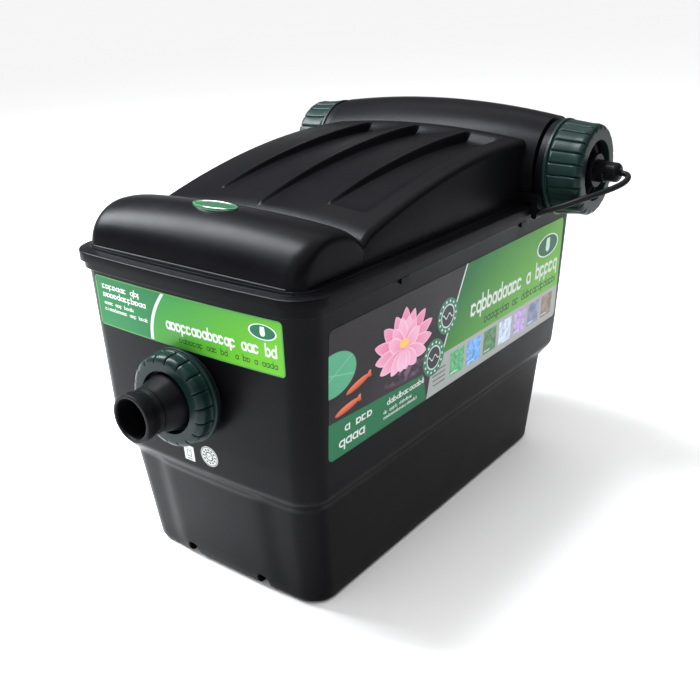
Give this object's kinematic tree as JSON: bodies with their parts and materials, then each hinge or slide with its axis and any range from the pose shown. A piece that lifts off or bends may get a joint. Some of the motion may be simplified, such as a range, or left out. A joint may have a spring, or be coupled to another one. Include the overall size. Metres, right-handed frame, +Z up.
{
  "type": "box pond filter with UV clarifier",
  "caption": "Tapered tub of filter media under a push-on lid; a UV clarifier tube with screw collars lies across the lid's back, and a hose outlet leaves the front.",
  "frame": {"origin": "middle of the tub's base, on the surface that it stands on", "axes": "+Z up, -Y towards the outlet at the front, +X towards the lamp end of the UV clarifier"},
  "size_m": [0.4143, 0.625, 0.4145],
  "materials": {
    "black_body": "satin moulded polypropylene with a fine grain",
    "black_fitting": "satin moulded",
    "green_collar": "semi-gloss moulded, dark bottle green",
    "seal_rubber": "dull nitrile",
    "label_print": "printed film, satin laminate",
    "sticker_white": "printed paper",
    "badge_green": "domed, glossy",
    "grid_black": "plain moulded",
    "slip_nylon": "natural nylon",
    "media_grey": "plain moulded",
    "foam_fine": "open-cell foam, fine pores",
    "foam_medium": "open-cell foam, medium pores",
    "foam_coarse": "open-cell foam, coarse pores",
    "quartz": "clear fused quartz",
    "lamp_glass": "clear lamp glass",
    "lamp_base_white": "white ceramic-filled base",
    "lead_sheath": "round flexible sheath",
    "ballast_grey": "potted box",
    "screw_steel": "stainless"
  },
  "bodies": {
    "tub": {"tub": "black_body", "outlet_gasket": "seal_rubber", "outlet_spigot": "black_fitting", "outlet_backnut": "black_fitting", "front_label": "label_print", "side_label": "label_print", "front_stickers": "sticker_white", "divider_plate": "grid_black", "support_grid": "grid_black", "bio_media": "media_grey", "media_screen": "grid_black", "fine_foam": "foam_fine", "medium_foam": "foam_medium", "coarse_foam": "foam_coarse", "distribution_tray": "grid_black"},
    "lid": {"lid": "black_body", "lid_seal": "seal_rubber", "lid_badge": "badge_green", "uv_housing": "black_body", "housing_screws": "screw_steel", "lamp_cap": "black_fitting", "lamp_cap_oring": "seal_rubber", "quartz_sleeve": "quartz", "quartz_oring": "seal_rubber", "sleeve_support": "grid_black", "uv_lamp": "lamp_glass", "lamp_base": "lamp_base_white", "lamp_holder": "black_fitting", "cable_gland": "black_fitting", "gland_nut": "black_fitting", "lamp_lead": "lead_sheath", "lead_duct": "black_body", "ballast_box": "ballast_grey", "ballast_screws": "screw_steel", "mains_gland": "black_fitting"},
    "outlet_tail": {"outlet_hose_tail": "black_fitting", "outlet_oring": "seal_rubber"},
    "outlet_nut": {"outlet_union_nut": "green_collar"},
    "inlet_tail": {"inlet_hose_tail": "black_fitting", "inlet_oring": "seal_rubber"},
    "inlet_nut": {"inlet_union_nut": "green_collar"},
    "blank_end": {"blank_cap": "black_fitting", "blank_cap_oring": "seal_rubber", "blank_slip_ring": "slip_nylon"},
    "blank_nut": {"blank_union_nut": "green_collar"},
    "lamp_ring": {"lamp_slip_ring": "slip_nylon"},
    "lamp_nut": {"lamp_union_nut": "green_collar"}
  },
  "joints": [
    {"name": "lid_lift", "type": "slide", "parent": "tub", "child": "lid", "axis": [0, 0, 1], "range_m": [0, 0.2]},
    {"name": "outlet_tail_slide", "type": "slide", "parent": "tub", "child": "outlet_tail", "axis": [0, -1, 0], "range_m": [0, 0.012]},
    {"name": "outlet_nut_turn", "type": "hinge", "parent": "outlet_tail", "child": "outlet_nut", "pos_m": [0, -0.27, 0.209], "axis": [0, -1, 0], "range_deg": [0, 1080]},
    {"name": "inlet_tail_slide", "type": "slide", "parent": "lid", "child": "inlet_tail", "axis": [0, 1, 0], "range_m": [0, 0.009]},
    {"name": "inlet_nut_turn", "type": "hinge", "parent": "inlet_tail", "child": "inlet_nut", "pos_m": [-0.08, 0.258, 0.359], "axis": [0, 1, 0], "range_deg": [0, 1080]},
    {"name": "blank_cap_slide", "type": "slide", "parent": "lid", "child": "blank_end", "axis": [-1, 0, 0], "range_m": [0, 0.012]},
    {"name": "blank_nut_turn", "type": "hinge", "parent": "blank_end", "child": "blank_nut", "pos_m": [-0.165, 0.1786, 0.3515], "axis": [-1, 0, 0], "range_deg": [0, 1080]},
    {"name": "lamp_ring_slide", "type": "slide", "parent": "lid", "child": "lamp_ring", "axis": [1, 0, 0], "range_m": [0, 0.008]},
    {"name": "lamp_nut_turn", "type": "hinge", "parent": "lamp_ring", "child": "lamp_nut", "pos_m": [0.165, 0.1786, 0.3515], "axis": [1, 0, 0], "range_deg": [0, 720]}
  ],
  "couplings": [
    {"joint": "outlet_tail_slide", "follows": "outlet_nut_turn", "m_per_rad": 0.00063661},
    {"joint": "inlet_tail_slide", "follows": "inlet_nut_turn", "m_per_rad": 0.00047746},
    {"joint": "blank_cap_slide", "follows": "blank_nut_turn", "m_per_rad": 0.00063661},
    {"joint": "lamp_ring_slide", "follows": "lamp_nut_turn", "m_per_rad": 0.00063661}
  ]
}
